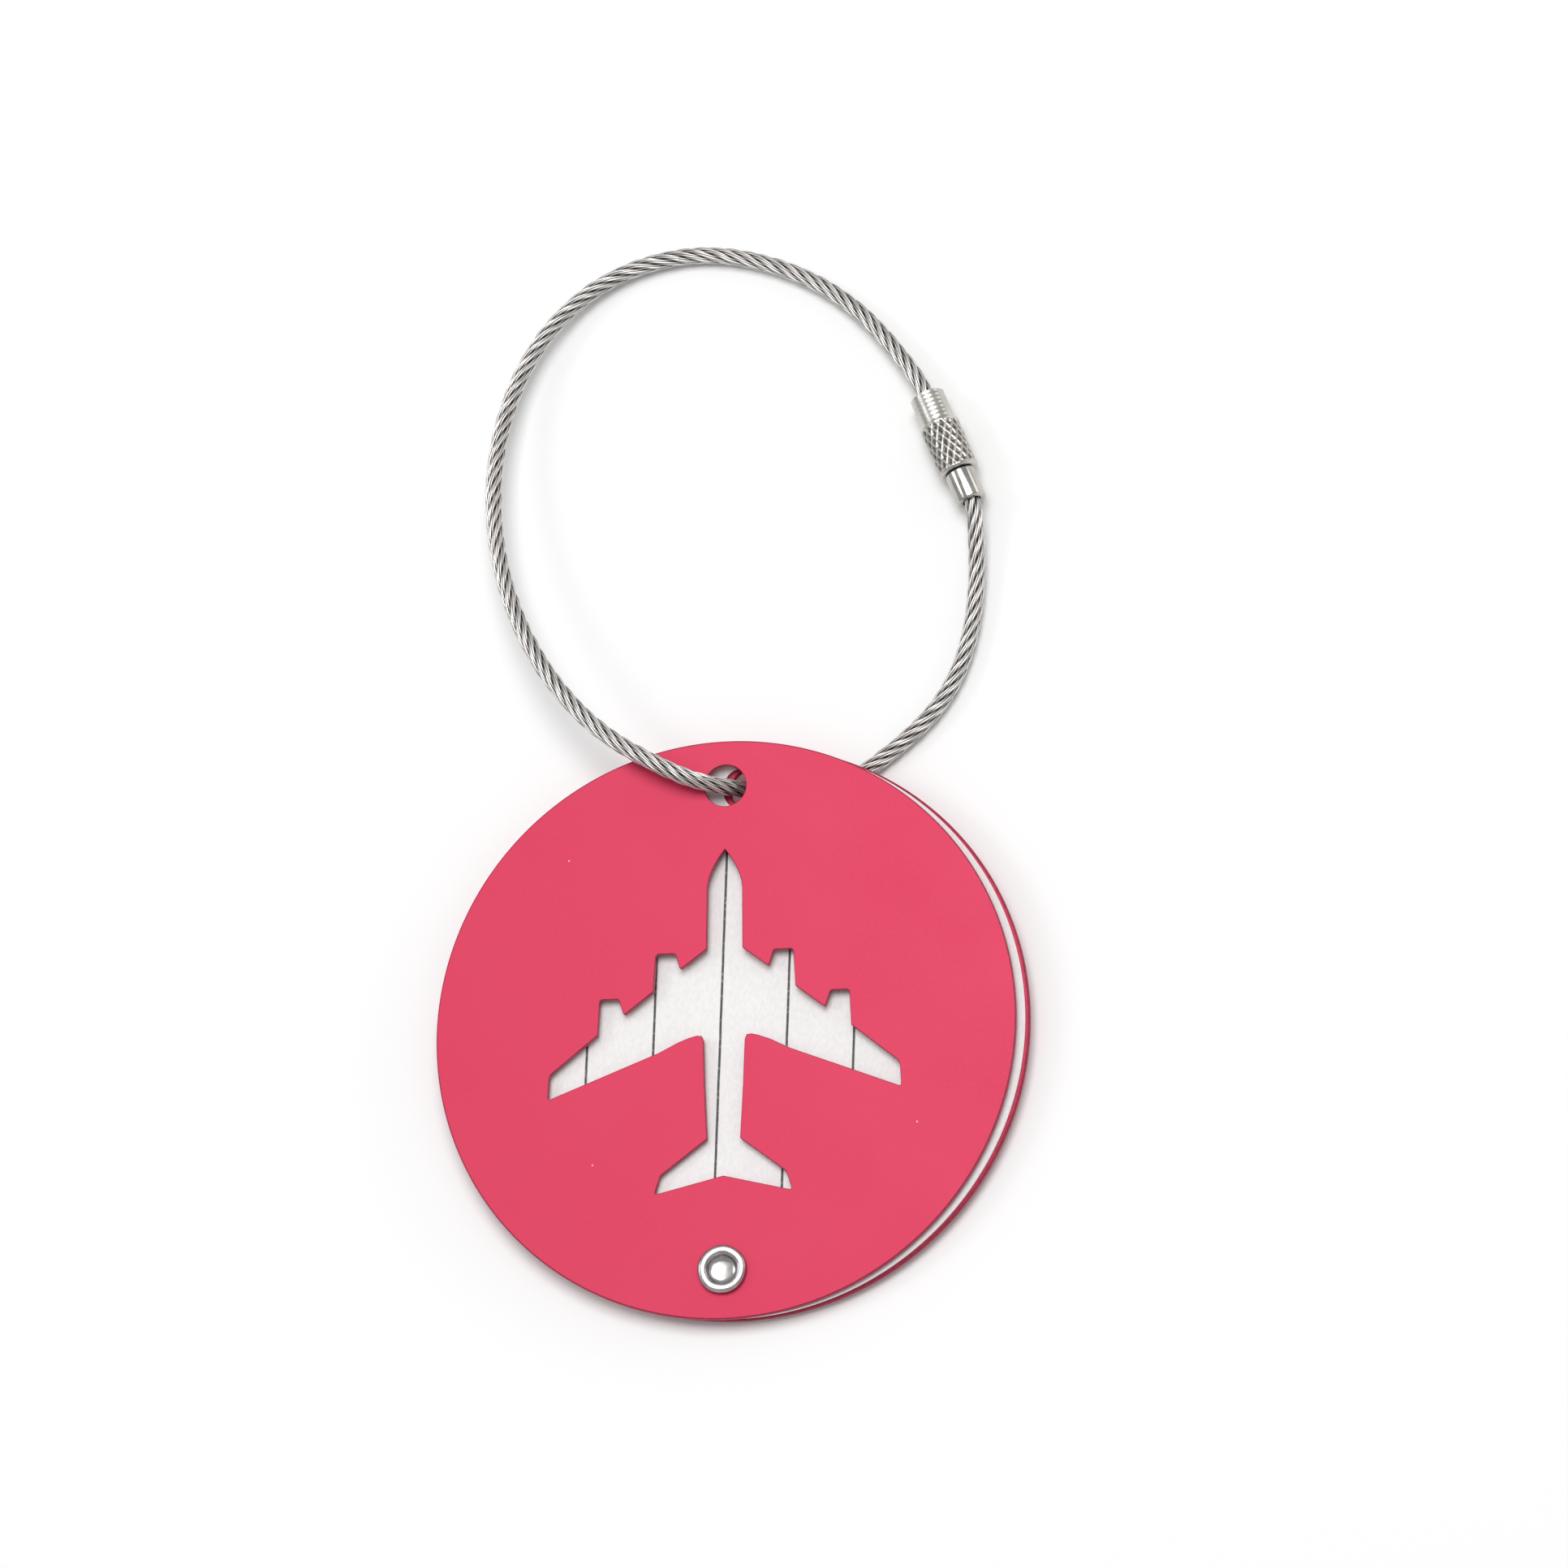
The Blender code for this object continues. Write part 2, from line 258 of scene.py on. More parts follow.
class Nodes:
    """Short calls that add and join shader nodes in one material."""

    def __init__(self, name):
        self.material = bpy.data.materials.new(name)
        self.material.use_nodes = True
        self.tree = self.material.node_tree
        self.shader = self.tree.nodes["Principled BSDF"]
        self.where = self.add("TexCoord").outputs["Object"]

    def add(self, kind, **settings):
        node = self.tree.nodes.new("ShaderNode" + kind)
        for key, value in settings.items():
            setattr(node, key, value)
        return node

    def link(self, source, target):
        self.tree.links.new(source, target)

    def feed(self, node, *values):
        for socket, value in zip(node.inputs, values):
            if isinstance(value, bpy.types.NodeSocket):
                self.link(value, socket)
            elif value is not None:
                socket.default_value = value
        return node.outputs[0]

    def math(self, operation, *values):
        return self.feed(self.add("Math", operation=operation), *values)

    def spread(self, value, low, high, to_low=0.0, to_high=1.0):
        """The value's range from low to high, eased onto another range."""
        node = self.add("MapRange", interpolation_type="SMOOTHSTEP")
        return self.feed(node, value, low, high, to_low, to_high)

    def noise(self, scale, detail=3.0, stretch=(1, 1, 1), where=None):
        mapping = self.add("Mapping")
        self.feed(mapping, where or self.where, None, None, stretch)
        noise = self.add("TexNoise")
        self.link(mapping.outputs[0], noise.inputs["Vector"])
        noise.inputs["Scale"].default_value = scale
        noise.inputs["Detail"].default_value = detail
        return noise.outputs["Fac"]

    def specks(self, scale, radius):
        """1 within the radius of points strewn over the surface, that many to a metre."""
        strewn = self.add("TexVoronoi", voronoi_dimensions="2D")
        self.link(self.where, strewn.inputs["Vector"])
        strewn.inputs["Scale"].default_value = scale
        return self.spread(strewn.outputs["Distance"], radius * scale * 0.7, radius * scale, 1, 0)

    def mix(self, factor, first, second):
        node = self.add("Mix", data_type="RGBA")
        for socket, value in zip((node.inputs[0], node.inputs[6], node.inputs[7]), (factor, first, second)):
            if isinstance(value, bpy.types.NodeSocket):
                self.link(value, socket)
            else:
                socket.default_value = (*value, 1) if isinstance(value, tuple) else value
        return node.outputs[2]

    def bump(self, height, strength, distance):
        node = self.add("Bump")
        node.inputs["Strength"].default_value = strength
        node.inputs["Distance"].default_value = distance
        self.link(height, node.inputs["Height"])
        self.link(node.outputs[0], self.shader.inputs["Normal"])

    def set(self, **values):
        for key, value in values.items():
            socket = self.shader.inputs[key.replace("_", " ").title().replace("Ior", "IOR")]
            if isinstance(value, bpy.types.NodeSocket):
                self.link(value, socket)
            else:
                socket.default_value = (*value, 1) if isinstance(value, tuple) else value
        return self.material


def anodised_face():
    """Satin dyed aluminium: a fine etched grain, faint cloudy patches, a few rubs and pinholes."""
    n = Nodes("anodised_face")
    grain = n.noise(9000, 2)
    cloud = n.noise(90, 4)
    rub = n.spread(n.noise(300, 3), 0.68, 0.76)
    pinhole = n.specks(48, 0.09 * MM)
    colour = n.mix(n.spread(cloud, 0.35, 0.65), (0.59, 0.018, 0.076), (0.64, 0.026, 0.088))
    colour = n.mix(n.math("MULTIPLY", n.spread(grain, 0.3, 0.7), 0.3), colour, (0.52, 0.012, 0.068))
    colour = n.mix(n.math("MULTIPLY", rub, 0.35), colour, (0.62, 0.02, 0.07))
    colour = n.mix(n.math("MULTIPLY", pinhole, 0.8), colour, (0.95, 0.55, 0.6))
    n.bump(grain, 0.25, 0.00002)
    return n.set(base_color=colour, roughness=n.spread(cloud, 0.3, 0.7, 0.46, 0.54), metallic=0.25)


def anodised_wall():
    """The dyed cut edge, with lines from the punch across its thickness."""
    n = Nodes("anodised_wall")
    lines = n.noise(1800, 2, (1, 1, 0.15))
    colour = n.mix(n.spread(lines, 0.3, 0.7), (0.34, 0.018, 0.050), (0.44, 0.030, 0.070))
    n.bump(lines, 0.3, 0.00002)
    return n.set(base_color=colour, roughness=0.4, metallic=0.4)


def anodised_corner_painted_shade():
    """The rounded corner between face and edge, coloured almost maroon as painted shade that draws a dark
    outline round the plates and their holes.
    """
    n = Nodes("anodised_corner_painted_shade")
    corner_shade_mottle = n.noise(2600, 2)
    # painted shade: the corner colours are near maroon, far darker than the face, to outline every edge
    colour = n.mix(n.spread(corner_shade_mottle, 0.3, 0.7), (0.30, 0.010, 0.044), (0.40, 0.018, 0.062))
    return n.set(base_color=colour, roughness=0.5, metallic=0.2)


def ruled_card():
    """White card with thin printed rules along it and a faint paper grain."""
    n = Nodes("ruled_card")
    turned = n.add("Mapping", vector_type="TEXTURE")
    n.feed(turned, n.where, (RULES_LEFT * MM, RIVET_BELOW_CENTRE * MM, 0), (0, 0, RULES_LEAN))
    place = n.add("SeparateXYZ")
    n.link(turned.outputs[0], place.inputs[0])
    wobble = n.math("MULTIPLY", n.math("SUBTRACT", n.noise(400, 1), 0.5), 0.05 * MM)
    across = n.math("ADD", place.outputs["X"], wobble)
    nearest = n.math("ROUND", n.math("DIVIDE", across, RULE_SPACING * MM))
    off = n.math("ABSOLUTE", n.math("SUBTRACT", across, n.math("MULTIPLY", nearest, RULE_SPACING * MM)))
    line = n.spread(off, RULE_WIDTH * 0.3 * MM, RULE_WIDTH * 0.7 * MM, 1, 0)
    outer = n.math("LESS_THAN", n.math("ABSOLUTE", nearest), RULES_EACH_SIDE + 0.5)
    reach = n.math("LESS_THAN", n.math("ABSOLUTE", place.outputs["Y"]), RULE_REACH * MM)
    line = n.math("MULTIPLY", line, n.math("MULTIPLY", outer, reach))
    line = n.math("MULTIPLY", line, n.spread(n.noise(2500, 2), 0.25, 0.5, 0.75, 1))
    fibre = n.noise(3500, 4, (1, 0.5, 1))
    paper = n.mix(n.spread(fibre, 0.3, 0.7), (0.82, 0.81, 0.805), (0.88, 0.87, 0.865))
    n.bump(fibre, 0.2, 0.00002)
    return n.set(base_color=n.mix(line, paper, (0.045, 0.045, 0.05)), roughness=0.55)


def bright_nickel(name, roughness, ring_depth, dull=(0.47, 0.455, 0.425), bright=(0.58, 0.565, 0.53)):
    """Plated turned metal: fine rings round the axis, and a little unevenness in the polish."""
    n = Nodes(name)
    rings = n.noise(4200, 1, (0.05, 0.05, 1))
    patchy = n.noise(700, 3)
    colour = n.mix(n.spread(patchy, 0.3, 0.7), dull, bright)
    n.bump(rings, ring_depth, 0.00002)
    rough = n.spread(patchy, 0.3, 0.7, roughness, roughness + 0.1)
    return n.set(base_color=colour, roughness=rough, metallic=1.0)


def knurled_nickel_pit_shade():
    """The barrel's nickel, with painted shade darkening the knurl's pits, fading out up to the ridges."""
    n = Nodes("knurled_nickel_pit_shade")
    place = n.add("SeparateXYZ")
    n.link(n.where, place.inputs[0])
    x, y, z = place.outputs
    radius = n.math("SQRT", n.math("ADD", n.math("MULTIPLY", x, x), n.math("MULTIPLY", y, y)))
    pit = n.spread(radius, PIT_RADIUS * MM, RIDGE_RADIUS * MM, 1, 0)
    pit = n.math("MULTIPLY", pit, n.math("LESS_THAN", z, KNURL_END * MM))
    pit = n.math("MULTIPLY", pit, n.math("GREATER_THAN", z, (KNURL_START + 0.05) * MM))
    patchy = n.noise(700, 3)
    colour = n.mix(n.spread(patchy, 0.3, 0.7), (0.52, 0.505, 0.475), (0.64, 0.62, 0.585))
    # painted shade: near black in the knurl's pits, fading out by the ridges
    colour = n.mix(n.math("MULTIPLY", pit, 0.85), colour, (0.09, 0.075, 0.06))
    return n.set(base_color=colour, roughness=0.3, metallic=1.0)


def rope_steel():
    """Drawn stainless wire, dull, with painted shade darkening the grooves between the strands."""
    n = Nodes("rope_steel")
    depth = n.add("Attribute", attribute_name="proud").outputs["Fac"]
    patchy = n.noise(900, 3)
    wire = n.mix(n.spread(patchy, 0.3, 0.7), (0.63, 0.61, 0.59), (0.80, 0.78, 0.76))
    # painted shade: near black where the wires lie low in the grooves, from the proud attribute
    colour = n.mix(n.spread(depth, 0.2, 0.8), (0.07, 0.062, 0.055), wire)
    rough = n.spread(patchy, 0.3, 0.7, 0.28, 0.42)
    return n.set(base_color=colour, roughness=rough, metallic=0.9)


# ---------------------------------------------------------------- flat plates


def circle(radius, centre_y, steps):
    turns = [2 * pi * i / steps for i in range(steps)]
    return [(radius * cos(a), centre_y + radius * sin(a)) for a in turns]


def filleted(corners, parts=6):
    """An outline through (x, y, radius) corners, each turned into an arc where its radius isn't 0."""
    outline = []
    for index, (x, y, radius) in enumerate(corners):
        if radius == 0:
            outline.append((x, y))
            continue
        here = Vector((x, y))
        before = (Vector(corners[index - 1][:2]) - here).normalized()
        after = (Vector(corners[(index + 1) % len(corners)][:2]) - here).normalized()
        half = before.angle(after) / 2
        centre = here + (before + after).normalized() * radius / sin(half)
        first = here + before * radius / np.tan(half) - centre
        sweep = first.angle_signed(here + after * radius / np.tan(half) - centre)
        for part in range(parts + 1):
            outline.append(tuple(centre + Matrix.Rotation(-sweep * part / parts, 2) @ first))
    return outline


def aeroplane_outline():
    """The airliner seen from above, nose towards the loop, about its own middle."""
    half_width, nose_start, nose_length = 1.62, 13.55, 3.58
    nose = []
    for share in (1.0, 0.97, 0.93, 0.88, 0.82, 0.74, 0.65, 0.54, 0.42, 0.28, 0.14):
        nose.append((half_width * (1 - share**1.7), nose_start + nose_length * share, 0))
    right = nose + [
        (half_width, nose_start, 0), (1.67, 7.79, 0.25),
        (4.15, 5.95, 0.15), (4.6, 7.48, 0.3), (6.42, 7.48, 0.3), (6.64, 4.0, 0.15),
        (9.4, 1.88, 0.15), (9.9, 3.43, 0.28), (11.65, 3.43, 0.28), (11.83, 0.12, 0.15),
        (16.33, -3.5, 0.9), (16.46, -5.78, 0.15),
        (6.09, -1.77, 0), (4.32, -0.88, 0), (3.29, -0.49, 0), (2.55, -0.3, 0), (2.1, -0.36, 0),
        (1.93, -0.8, 0), (1.8, -4.9, 0), (1.67, -7.56, 0), (1.54, -10.0, 0.2),
        (5.85, -13.25, 0.5), (6.41, -14.98, 0.15),
    ]
    left = [(-x, y, radius) for x, y, radius in reversed(right) if x > 0]
    return filleted(list(reversed(right + [(0, -13.44, 0)] + left)))


def inward(outline):
    """Unit steps from an anticlockwise outline's points towards its inside, longer at a corner."""
    points = np.array(outline)
    side = np.roll(points, -1, axis=0) - points
    side /= np.linalg.norm(side, axis=1)[:, None]
    normal = np.stack([-side[:, 1], side[:, 0]], axis=1)
    both = normal + np.roll(normal, 1, axis=0)
    return both / np.maximum((both * normal).sum(axis=1), 0.5)[:, None]


def plate_mesh(name, loops, thick):
    """A plate from its outlines: (points, edge radius, is a hole). Walls are rounded over at both faces."""
    bm = bmesh.new()
    lowest, highest = [], []
    for outline, edge, hole in loops:
        step_in = inward(outline) * (-1 if hole else 1)
        quarter = (0, pi / 8, pi / 4, 3 * pi / 8, pi / 2)
        levels = [(edge * (1 - sin(a)), edge * (1 - cos(a))) for a in quarter]
        levels = levels + [(inset, thick - up) for inset, up in reversed(levels)]
        rings = []
        for inset, up in levels:
            ring = np.array(outline) + step_in * inset
            rings.append([bm.verts.new((x * MM, y * MM, up * MM)) for x, y in ring])
        for row, (low, high) in enumerate(zip(rings, rings[1:])):
            for i in range(len(low)):
                after = (i + 1) % len(low)
                corners = [low[i], low[after], high[after], high[i]]
                face = bm.faces.new(reversed(corners) if hole else corners)
                face.smooth = True
                # index 1 is the straight wall; index 2, the rounded corners, takes the corner material with
                # its painted shade
                face.material_index = 1 if row == len(rings) // 2 - 1 else 2
        lowest.append(rings[0])
        highest.append(rings[-1])
    for rings, facing in ((lowest, -1), (highest, 1)):
        edges = [bm.edges.get((ring[i], ring[i - 1])) for ring in rings for i in range(len(ring))]
        made = bmesh.ops.triangle_fill(bm, use_beauty=True, edges=edges, normal=(0, 0, facing))
        for face in made["geom"]:
            if isinstance(face, bmesh.types.BMFace):
                face.normal_update()
                if face.normal.z * facing < 0:
                    face.normal_flip()
    mesh = bpy.data.meshes.new(name)
    bm.to_mesh(mesh)
    bm.free()
    return mesh


def disc_loops(radius, edge, rope_hole_radius=ROPE_HOLE_RADIUS):
    """A layer's outlines about its own rivet hole."""
    return [
        (circle(radius, RIVET_BELOW_CENTRE, DISC_STEPS), edge, False),
        (circle(RIVET_HOLE_RADIUS, 0, HOLE_STEPS), edge / 2, True),
        (circle(rope_hole_radius, RIVET_BELOW_CENTRE + HOLE_ABOVE_CENTRE, HOLE_STEPS), edge / 2, True),
    ]


def make_plates(face, wall, corner, card):
    window = [(x, y + RIVET_BELOW_CENTRE - WINDOW_BELOW_CENTRE) for x, y in aeroplane_outline()]
    front_loops = disc_loops(DISC_RADIUS, PLATE_EDGE) + [(window, WINDOW_EDGE, True)]
    rear = plate_mesh("rear_disc", disc_loops(DISC_RADIUS, REAR_EDGE), PLATE_THICK)
    front = plate_mesh("front_disc", front_loops, PLATE_THICK)
    white = plate_mesh("ruled_card", disc_loops(CARD_RADIUS, CARD_EDGE, CARD_HOLE_RADIUS), CARD_THICK)
    red = (face, wall, corner)
    for mesh, materials in ((rear, red), (front, red), (white, (card, card, card))):
        for material in materials:
            mesh.materials.append(material)
    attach(add_piece("front_disc", front, FRONT_PLANE, "red_anodised", "front_plate"), "tag")
    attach(add_piece("rear_disc", rear, REAR_PLANE, "red_anodised", "rear_plate"), "rear")
    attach(add_piece("ruled_card", white, CARD_PLANE, "card", "address_card"), "card")


# ---------------------------------------------------------------- turned pieces


def turned_mesh(name, profile, steps, relief):
    """A solid turned about Z from (radius, height) pairs. A flat face closes each end, unless the
    profile comes back to its first pair. relief(angle, height, radius), if there is one, is added
    to the radius."""
    ring = profile[0] == profile[-1]
    bm = bmesh.new()
    rings = []
    for radius, height in profile[: len(profile) - ring]:
        row = []
        for step in range(steps):
            angle = 2 * pi * step / steps
            wide = radius + (relief(angle, height, radius) if relief else 0)
            row.append(bm.verts.new((wide * cos(angle) * MM, wide * sin(angle) * MM, height * MM)))
        rings.append(row)
    if ring:
        rings.append(rings[0])
    else:
        bm.faces.new(list(reversed(rings[0])))
        bm.faces.new(rings[-1])
    for low, high in zip(rings, rings[1:]):
        for step in range(steps):
            after = (step + 1) % steps
            bm.faces.new((low[step], low[after], high[after], high[step]))
    mesh = bpy.data.meshes.new(name)
    bm.to_mesh(mesh)
    bm.free()
    mesh.shade_smooth()
    mesh.set_sharp_from_angle(angle=radians(42))
    return mesh


def arc(radius, height, size, start, end, parts=5):
    """Profile points on an arc about (radius, height), from one angle to another in degrees."""
    angles = [radians(start + (end - start) * i / parts) for i in range(parts + 1)]
    return [(radius + size * cos(a), height + size * sin(a)) for a in angles]


def make_rivet(nickel):
    seat = HEAD_UNDER_REAR + RIVET_SEAT
    roll_centre = RIM_RADIUS - ROLL_RADIUS
    profile = (
        arc(HEAD_RADIUS - HEAD_ROUND, HEAD_ROUND, HEAD_ROUND, -90, 0)
        + arc(HEAD_RADIUS - HEAD_ROUND, HEAD_THICK - HEAD_ROUND, HEAD_ROUND, 0, 80)
        + [(SHANK_RADIUS, HEAD_THICK), (SHANK_RADIUS, seat), (2.0, seat)]
        + arc(roll_centre, seat + RIM_UP, ROLL_RADIUS, -60, 90, 10)
        + arc(roll_centre - 0.2, seat + RIM_UP - 0.02, ROLL_RADIUS + 0.02, 90, 172, 7)
        + [(HOLLOW_RADIUS, seat + 0.1), (HOLLOW_RADIUS - 0.04, seat), (HOLLOW_RADIUS - 0.18, seat - 0.1)]
        + [(0.8, seat - 0.14), (0.4, seat - 0.17), (0.12, seat - 0.18)]
    )

    def uneven(angle, height, radius):
        """The roll is a little lopsided, as one set by a press is."""
        if height < seat or radius < HOLLOW_RADIUS:
            return 0
        return 0.02 * sin(2 * angle + 1) + 0.012 * sin(5 * angle)

    mesh = turned_mesh("rolled_rivet", profile, RIVET_SIDES, uneven)
    mesh.materials.append(nickel)
    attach(add_piece("rolled_rivet", mesh, RIVET_FRAME, "nickel", "pivot_rivet"), "tag")


def knurl(angle, height, radius):
    """Two crossing sets of rounded ridges, with a pit in each diamond between them."""
    if radius < RIDGE_RADIUS or not KNURL_START < height < KNURL_END:
        return 0
    across = KNURL_STARTS * angle / (2 * pi)
    along = KNURL_STARTS * height * np.tan(KNURL_LEAN) / (2 * pi * radius)
    ridges = [1 - 2 * abs((phase + 0.5) % 1 - 0.5) for phase in (across + along, across - along)]
    ends = min((height - KNURL_START) / 0.2, (KNURL_END - height) / 0.2, 1)
    return -KNURL_DEPTH * ends * (1 - max(ridges) ** 1.2)


def thread(angle, height, radius):
    """A right-handed thread cut into the stud."""
    if radius < STUD_RADIUS - 0.05 or not THREAD_START < height < THREAD_END:
        return 0
    return -THREAD_DEPTH * 2 * abs((height / THREAD_PITCH - angle / (2 * pi)) % 1 - 0.5)


def neck_profile():
    """The neck's outside, with shallow grooves round it."""
    profile = []
    for i in range(NECK_POINTS):
        groove = NECK_RING_DEPTH * (1 - cos(2 * pi * i / NECK_RING_POINTS)) / 2
        profile.append((NECK_RADIUS - groove, NECK_START + 0.06 + i * NECK_STEP))
    return profile


def make_clasp(nickel, knurled):
    barrel = (
        [(CHAMBER_RADIUS, BARREL_START)]
        + arc(BARREL_RADIUS - 0.28, BARREL_START + 0.28, 0.28, -90, 0)
        + [(BARREL_RADIUS, z) for z in np.linspace(BARREL_START + 0.31, NECK_START - 0.16, KNURL_ROWS)]
        + arc(BARREL_RADIUS - 0.12, NECK_START - 0.12, 0.12, 0, 90)
        + [(NECK_RADIUS + 0.02, NECK_START + 0.01)]
        + neck_profile()
        + arc(NECK_RADIUS - 0.1, NECK_END - 0.09, 0.09, 20, 90)
        + [(NECK_BORE_RADIUS, NECK_END), (NECK_BORE_RADIUS, CHAMBER_END)]
        + [(CHAMBER_RADIUS, CHAMBER_END), (CHAMBER_RADIUS, BARREL_START)]
    )
    ferrule = (
        [(CRIMP_BORE_RADIUS, FERRULE_BORE_END), (CRIMP_BORE_RADIUS, 0.05)]
        + arc(1.0, 0.1, 0.1, 210, 270)
        + arc(FERRULE_RADIUS - 0.18, 0.18, 0.18, -90, 0)
        + [(FERRULE_RADIUS, 2.9)]
        + arc(FERRULE_RADIUS - 0.12, 2.93, 0.12, 0, 90)
        + [(STUD_RADIUS, z) for z in np.linspace(3.1, 5.65, THREAD_ROWS)]
        + [(1.0, STUD_END - 0.05), (0.9, STUD_END)]
    )
    collar = (
        [(CRIMP_BORE_RADIUS, COLLAR_START)]
        + arc(COLLAR_RADIUS - COLLAR_ROUND, COLLAR_START + COLLAR_ROUND, COLLAR_ROUND, -90, 0)
        + arc(COLLAR_RADIUS - COLLAR_ROUND, COLLAR_END - COLLAR_ROUND, COLLAR_ROUND, 0, 90)
        + [(CRIMP_BORE_RADIUS, COLLAR_END), (CRIMP_BORE_RADIUS, COLLAR_START)]
    )
    for name, profile, relief, material, body, node in (
        ("knurled_barrel", barrel, knurl, knurled, "barrel", "clasp_barrel"),
        ("screw_ferrule", ferrule, thread, nickel, "tag", "screw_end"),
        ("crimp_collar", collar, None, nickel, "stop", "stop_collar"),
    ):
        mesh = turned_mesh(name, profile, CLASP_SIDES, relief)
        mesh.materials.append(material)
        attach(add_piece(name, mesh, CLASP_FRAME, "nickel", node), body)


# ---------------------------------------------------------------- wire rope


def along_clasp(distance):
    return tuple((CLASP_FOOT + CLASP_AXIS * distance * MM) / MM)


def smooth_route(points, spacing):
    """Points about that far apart on the natural cubic curve through the route's own points."""
    points = np.array(points, float)
    steps = np.linalg.norm(np.diff(points, axis=0), axis=1)
    place = np.concatenate([[0], np.cumsum(steps)])
    count = len(points)
    left, right = np.eye(count), np.zeros_like(points)
    for i in range(1, count - 1):
        left[i, i - 1 : i + 2] = steps[i - 1], 2 * (steps[i - 1] + steps[i]), steps[i]
        slopes = np.diff(points[i - 1 : i + 2], axis=0) / steps[i - 1 : i + 1, None]
        right[i] = 6 * (slopes[1] - slopes[0])
    bend = np.linalg.solve(left, right)
    smooth = []
    for at in np.linspace(0, place[-1], round(place[-1] / spacing) + 1):
        i = min(np.searchsorted(place, at, side="right"), count - 1) - 1
        h, a = steps[i], place[i + 1] - at
        b = h - a
        smooth.append(
            (bend[i] * a**3 + bend[i + 1] * b**3) / (6 * h)
            + (points[i] / h - bend[i] * h / 6) * a
            + (points[i + 1] / h - bend[i + 1] * h / 6) * b
        )
    return np.array(smooth)


def carried_frames(points):
    """The rope's direction and a sideways pair at each point, carried along it without twist."""
    ahead = np.gradient(points, axis=0)
    ahead /= np.linalg.norm(ahead, axis=1)[:, None]
    side = np.cross(ahead[0], (0, 0, 1.0))
    sides = []
    for direction in ahead:
        side = side - direction * (side @ direction)
        side /= np.linalg.norm(side)
        sides.append(side)
    sides = np.array(sides)
    return ahead, sides, np.cross(ahead, sides)


def strand_section():
    """Angles and radii of a strand's outline, scalloped by its six wires."""
    angles = np.arange(STRAND_SIDES) * 2 * pi / STRAND_SIDES
    off = (angles + pi / WIRES) % (2 * pi / WIRES) - pi / WIRES
    return angles, WIRE_ORBIT * np.cos(off) + np.sqrt(
        np.maximum(WIRE_RADIUS**2 - (WIRE_ORBIT * np.sin(off)) ** 2, 0)
    )


def strand_tubes(points, ahead, side, up, travelled):
    """Each strand's rings of points, and how far each stands proud of the rope's grooves, which sets the
    painted shade in them.
    """
    angles, radii = strand_section()
    for strand in range(STRANDS):
        turn = 2 * pi * (strand / STRANDS + travelled / ROPE_LAY)
        out = side * np.cos(turn)[:, None] + up * np.sin(turn)[:, None]
        around = up * np.cos(turn)[:, None] - side * np.sin(turn)[:, None]
        along = ahead + around * STRAND_ORBIT * 2 * pi / ROPE_LAY
        along /= np.linalg.norm(along, axis=1)[:, None]
        across = np.cross(along, out)
        twist = angles[None, :] - 2 * pi * travelled[:, None] / WIRE_LAY
        rings = (
            (points + out * STRAND_ORBIT)[:, None, :]
            + out[:, None, :] * (radii * np.cos(twist))[:, :, None]
            + across[:, None, :] * (radii * np.sin(twist))[:, :, None]
        )
        far = np.linalg.norm(rings - points[:, None, :], axis=2)
        groove = (radii - radii.min()) / (radii.max() - radii.min())
        yield rings, (far - 0.45) / 0.35 * (0.45 + 0.55 * groove)[None, :]


def rope_mesh(name, first, last, route, frames, travelled):
    """The strands and the core of the rope between two of the route's points, as one mesh."""
    part = slice(first, last + 1)
    points, along = route[part], travelled[part]
    ahead, side, up = (direction[part] for direction in frames)
    tubes = list(strand_tubes(points, ahead, side, up, along))
    spokes = np.arange(CORE_SIDES) * 2 * pi / CORE_SIDES
    core = points[:, None, :] + CORE_RADIUS * (
        side[:, None, :] * np.cos(spokes)[None, :, None] + up[:, None, :] * np.sin(spokes)[None, :, None]
    )
    tubes.append((core, np.zeros(core.shape[:2])))
    vertices, faces, proud = [], [], []
    for rings, stands in tubes:
        count, wide = rings.shape[:2]
        start = len(vertices)
        vertices.extend(map(tuple, rings.reshape(-1, 3) * MM))
        proud.extend(stands.reshape(-1))
        for row in range(count - 1):
            for i in range(wide):
                a, b = start + row * wide + i, start + row * wide + (i + 1) % wide
                faces.append((a, b, b + wide, a + wide))
        faces.append(tuple(start + i for i in reversed(range(wide))))
        faces.append(tuple(start + (count - 1) * wide + i for i in range(wide)))
    mesh = bpy.data.meshes.new(name)
    mesh.from_pydata(vertices, [], faces)
    mesh.shade_smooth()
    mesh.set_sharp_from_angle(angle=radians(70))
    # the proud attribute sets where the rope's material paints shade in the grooves
    mesh.attributes.new("proud", "FLOAT", "POINT").data.foreach_set("value", proud)
    return mesh


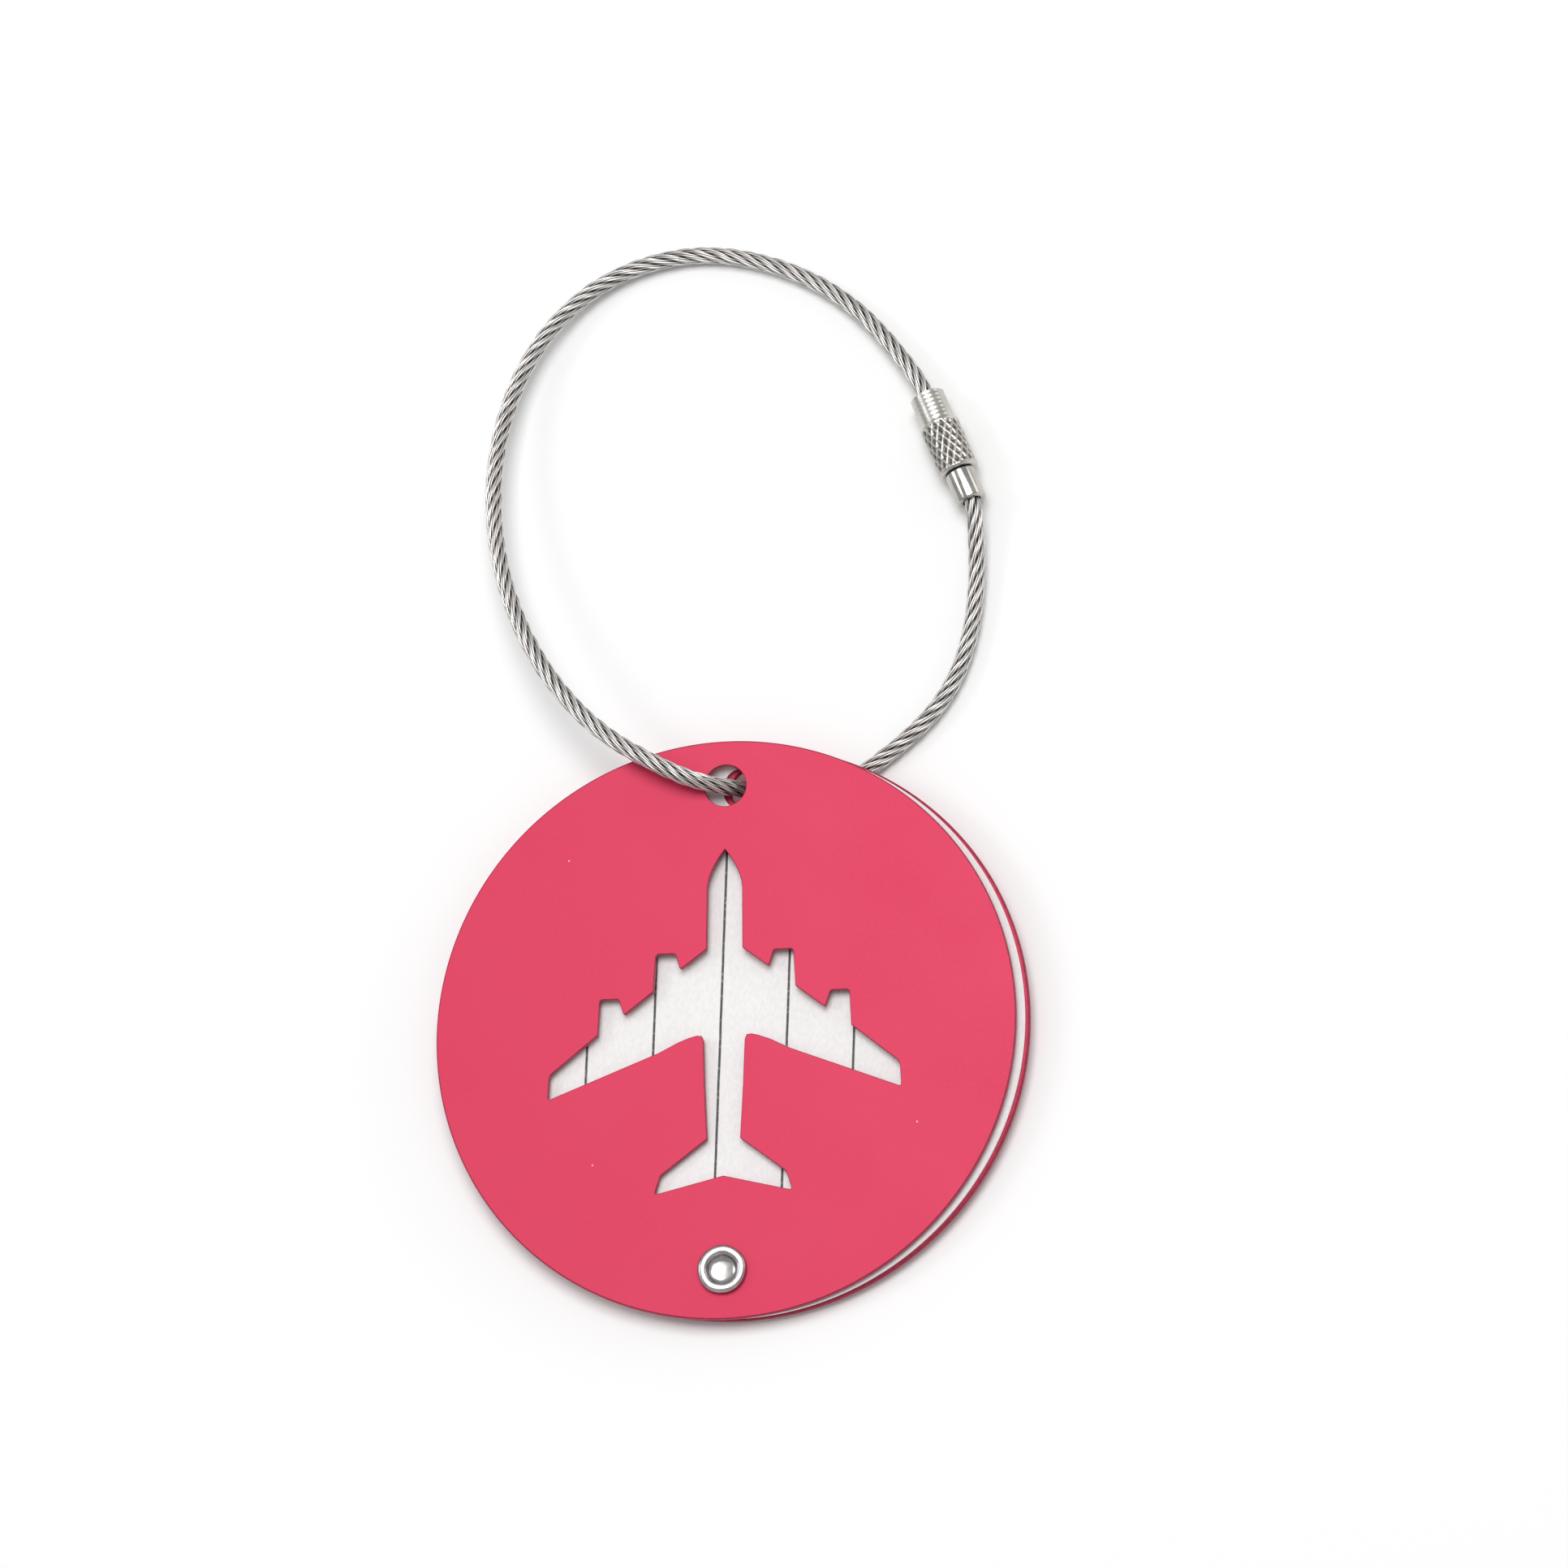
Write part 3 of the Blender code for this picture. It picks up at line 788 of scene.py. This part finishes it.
def make_rope(steel):
    """One rope in three lengths: from the barrel round the loop's top to its left side, from there through
    the rope hole to under it, and on to the screw end.
    """
    inside_barrel = [along_clasp(ROPE_END_A + step) for step in (0, 1.3, 2.6, 3.9)]
    inside_barrel.append(along_clasp(NECK_END))
    inside_ferrule = [along_clasp(at) for at in (0.0, 1.2, ROPE_END_B)]
    route = smooth_route(inside_barrel + ROPE_ROUTE + inside_ferrule, ROPE_STEP)
    frames = carried_frames(route)
    travelled = np.concatenate([[0], np.cumsum(np.linalg.norm(np.diff(route, axis=0), axis=1))])
    left = int(np.argmin(np.linalg.norm(route - LOOP_LEFT, axis=1)))
    under = int(np.argmin(np.linalg.norm(route - UNDER_HOLE, axis=1)))
    clasp = ["knurled_barrel", "crimp_collar", "screw_ferrule"]
    for name, first, last, backwards, far_end, with_pieces, bend in (
        ("rope_top", 0, left, True, "fitting", clasp[:2], TOP_BEND),
        ("rope_front", left, under, True, "object", [], FRONT_BEND),
        ("rope_under", under, len(route) - 1, False, "fitting", clasp[2:], UNDER_BEND),
    ):
        mesh = rope_mesh(name, first, last, route, frames, travelled)
        mesh.materials.append(steel)
        piece = add_piece(name, mesh, Matrix.Identity(4), "rope_steel", "wire_rope")
        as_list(with_pieces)
        body_a, body_b, start, end = bend
        Vector(start) * MM
        Vector(end) * MM
        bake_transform(piece)


# ---------------------------------------------------------------- floor and light


def make_floor():
    mesh = bpy.data.meshes.new("floor")
    corners = [(x * FLOOR_REACH, y * FLOOR_REACH, 0) for x, y in ((-1, -1), (1, -1), (1, 1), (-1, 1))]
    mesh.from_pydata(corners, [], [(0, 1, 2, 3)])
    n = Nodes("floor_white")
    mesh.materials.append(n.set(base_color=(0.96, 0.96, 0.96), roughness=0.8))
    floor = bpy.data.objects.new("floor", mesh)
    bpy.context.scene.collection.objects.link(floor)
    floor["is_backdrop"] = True


def add_softbox(name, place, size, power, colour):
    """A light at the place, facing the tag. Place and size are in metres, power in watts."""
    light = bpy.data.lights.new(name, "AREA")
    light.shape = "RECTANGLE"
    light.size, light.size_y = size
    light.energy = power
    light.color = colour
    lamp = bpy.data.objects.new(name, light)
    lamp.location = place
    lamp.rotation_euler = (Vector((0, 0.02, 0)) - Vector(place)).to_track_quat("-Z", "Y").to_euler()
    bpy.context.scene.collection.objects.link(lamp)


def make_light():
    world = bpy.data.worlds.new("studio")
    world.use_nodes = True
    world.node_tree.nodes["Background"].inputs["Color"].default_value = (1, 1, 1, 1)
    world.node_tree.nodes["Background"].inputs["Strength"].default_value = 0.45
    bpy.context.scene.world = world
    add_softbox("softbox_above", (0.05, 0.25, 1.0), (0.6, 0.6), 6.3, (1, 1, 1))
    add_softbox("softbox_left", (-0.75, 0.14, 0.65), (0.25, 0.25), 1.0, (1, 1, 1))
    add_softbox("softbox_right", (0.80, 0.45, 0.27), (0.6, 0.3), 0.8, (1, 0.97, 0.93))
    bpy.context.scene.view_settings.view_transform = "Standard"


def main():
    make_camera()
    nickel = bright_nickel("bright_nickel", 0.12, 0.12)
    make_clasp(nickel, knurled_nickel_pit_shade())
    make_rope(rope_steel())
    make_plates(anodised_face(), anodised_wall(), anodised_corner_painted_shade(), ruled_card())
    make_rivet(bright_nickel("pressed_nickel", 0.2, 0.3, (0.42, 0.40, 0.40), (0.58, 0.56, 0.56)))
    make_floor()
    make_light()


main()
boxes = {"cad": cad_box, "visual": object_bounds()}
{name: [list(corner) for corner in box] for name, box in boxes.items()}
